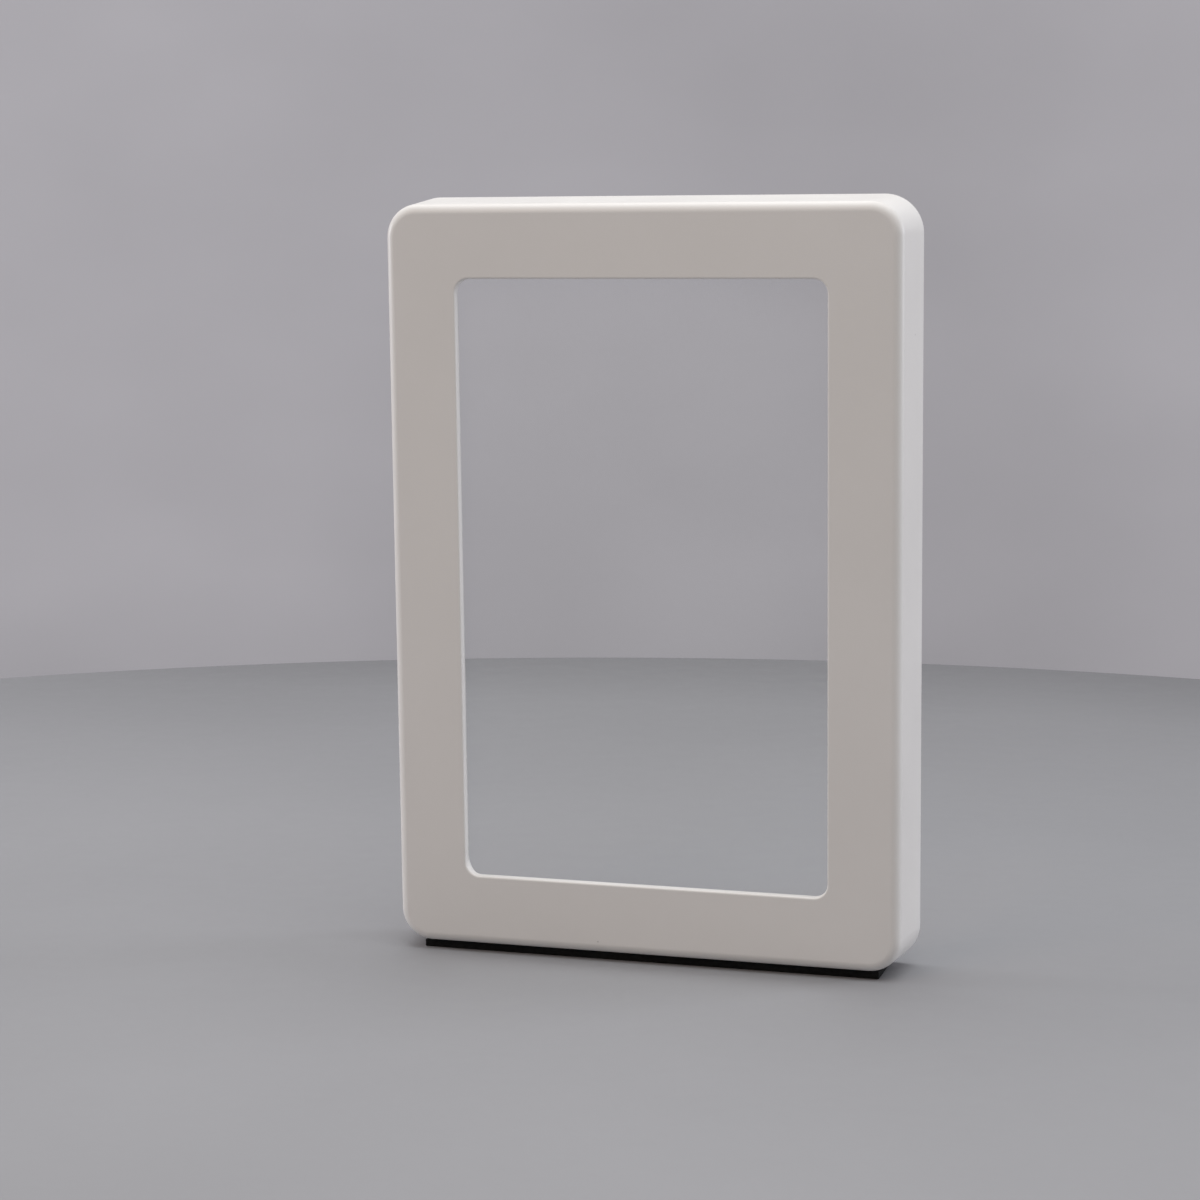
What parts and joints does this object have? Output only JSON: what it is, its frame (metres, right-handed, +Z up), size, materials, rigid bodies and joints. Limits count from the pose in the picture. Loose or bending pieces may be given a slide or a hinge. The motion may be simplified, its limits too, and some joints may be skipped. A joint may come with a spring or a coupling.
{
  "type": "digital photo frame",
  "caption": "Upright see-through digital photo frame: white bezel ring round a clear display, electronics in the ring, rear keys and a folding wire stand.",
  "frame": {"origin": "centre of the whole object's footprint, on the surface the foot strip stands on", "axes": "+Z up, -Y out of the viewing face, +X to the right of someone who looks at that face"},
  "size_m": [0.1502, 0.0216, 0.2155],
  "materials": {
    "housing": "white ABS with a fine moulded grain",
    "cover": "white ABS, slightly coarser grain",
    "key": "light grey, satin",
    "glass": "clear, anti-reflection coated",
    "gasket": "black foam",
    "rubber": "black, matte",
    "retainer": "satin sheet",
    "steel": "nickel plated",
    "board": "green solder mask",
    "chip": "black moulded epoxy",
    "shield": "tinned sheet",
    "connector": "ivory nylon",
    "flex": "amber polyimide film",
    "wire": "black PVC"
  },
  "bodies": {
    "root": {"front_bezel": "housing", "panel_gasket": "gasket", "display_panel": "glass", "panel_retainer": "retainer", "panel_flex": "flex", "panel_driver_chip": "chip", "main_board": "board", "processor": "chip", "memory_chip": "chip", "wifi_module": "shield", "power_inductor": "chip", "flex_connector": "connector", "key_plug": "connector", "speaker_plug": "connector", "capacitor": "shield", "inlet_board": "board", "inlet_screw": "steel", "usb_socket": "steel", "key_board": "board", "left_speaker": "chip", "right_speaker": "chip", "wifi_aerial": "flex", "rear_cover": "cover", "left_hinge_block": "cover", "right_hinge_block": "cover", "left_hinge_screw": "steel", "right_hinge_screw": "steel", "foot_strip": "rubber", "retainer_screw_1": "steel", "retainer_screw_2": "steel", "retainer_screw_3": "steel", "retainer_screw_4": "steel", "cover_screw_1": "steel", "cover_screw_2": "steel", "cover_screw_3": "steel", "cover_screw_4": "steel", "cover_screw_5": "steel", "cover_screw_6": "steel", "board_screw_1": "steel", "key_board_screw_1": "steel", "board_screw_2": "steel", "key_board_screw_2": "steel", "power_switch": "chip", "menu_switch": "chip", "previous_switch": "chip", "next_switch": "chip", "enter_switch": "chip", "key_cable": "wire", "inlet_cable": "wire", "left_speaker_cable": "wire", "right_speaker_cable": "wire", "aerial_cable": "wire"},
    "stand": {"wire_stand": "steel", "left_stand_pad": "rubber", "right_stand_pad": "rubber"},
    "power_key_body": {"power_key": "key"},
    "menu_key_body": {"menu_key": "key"},
    "previous_key_body": {"previous_key": "key"},
    "next_key_body": {"next_key": "key"},
    "enter_key_body": {"enter_key": "key"}
  },
  "joints": [
    {"name": "stand_swing", "type": "hinge", "parent": "root", "child": "stand", "pos_m": [0, 0.00785, 0.112], "axis": [1, 0, 0], "range_deg": [0, 38]},
    {"name": "power_key_press", "type": "slide", "parent": "root", "child": "power_key_body", "axis": [0, -1, 0], "range_m": [0, 0.0005], "stiffness_N_per_m": 3000},
    {"name": "menu_key_press", "type": "slide", "parent": "root", "child": "menu_key_body", "axis": [0, -1, 0], "range_m": [0, 0.0005], "stiffness_N_per_m": 3000},
    {"name": "previous_key_press", "type": "slide", "parent": "root", "child": "previous_key_body", "axis": [0, -1, 0], "range_m": [0, 0.0005], "stiffness_N_per_m": 3000},
    {"name": "next_key_press", "type": "slide", "parent": "root", "child": "next_key_body", "axis": [0, -1, 0], "range_m": [0, 0.0005], "stiffness_N_per_m": 3000},
    {"name": "enter_key_press", "type": "slide", "parent": "root", "child": "enter_key_body", "axis": [0, -1, 0], "range_m": [0, 0.0005], "stiffness_N_per_m": 3000}
  ]
}
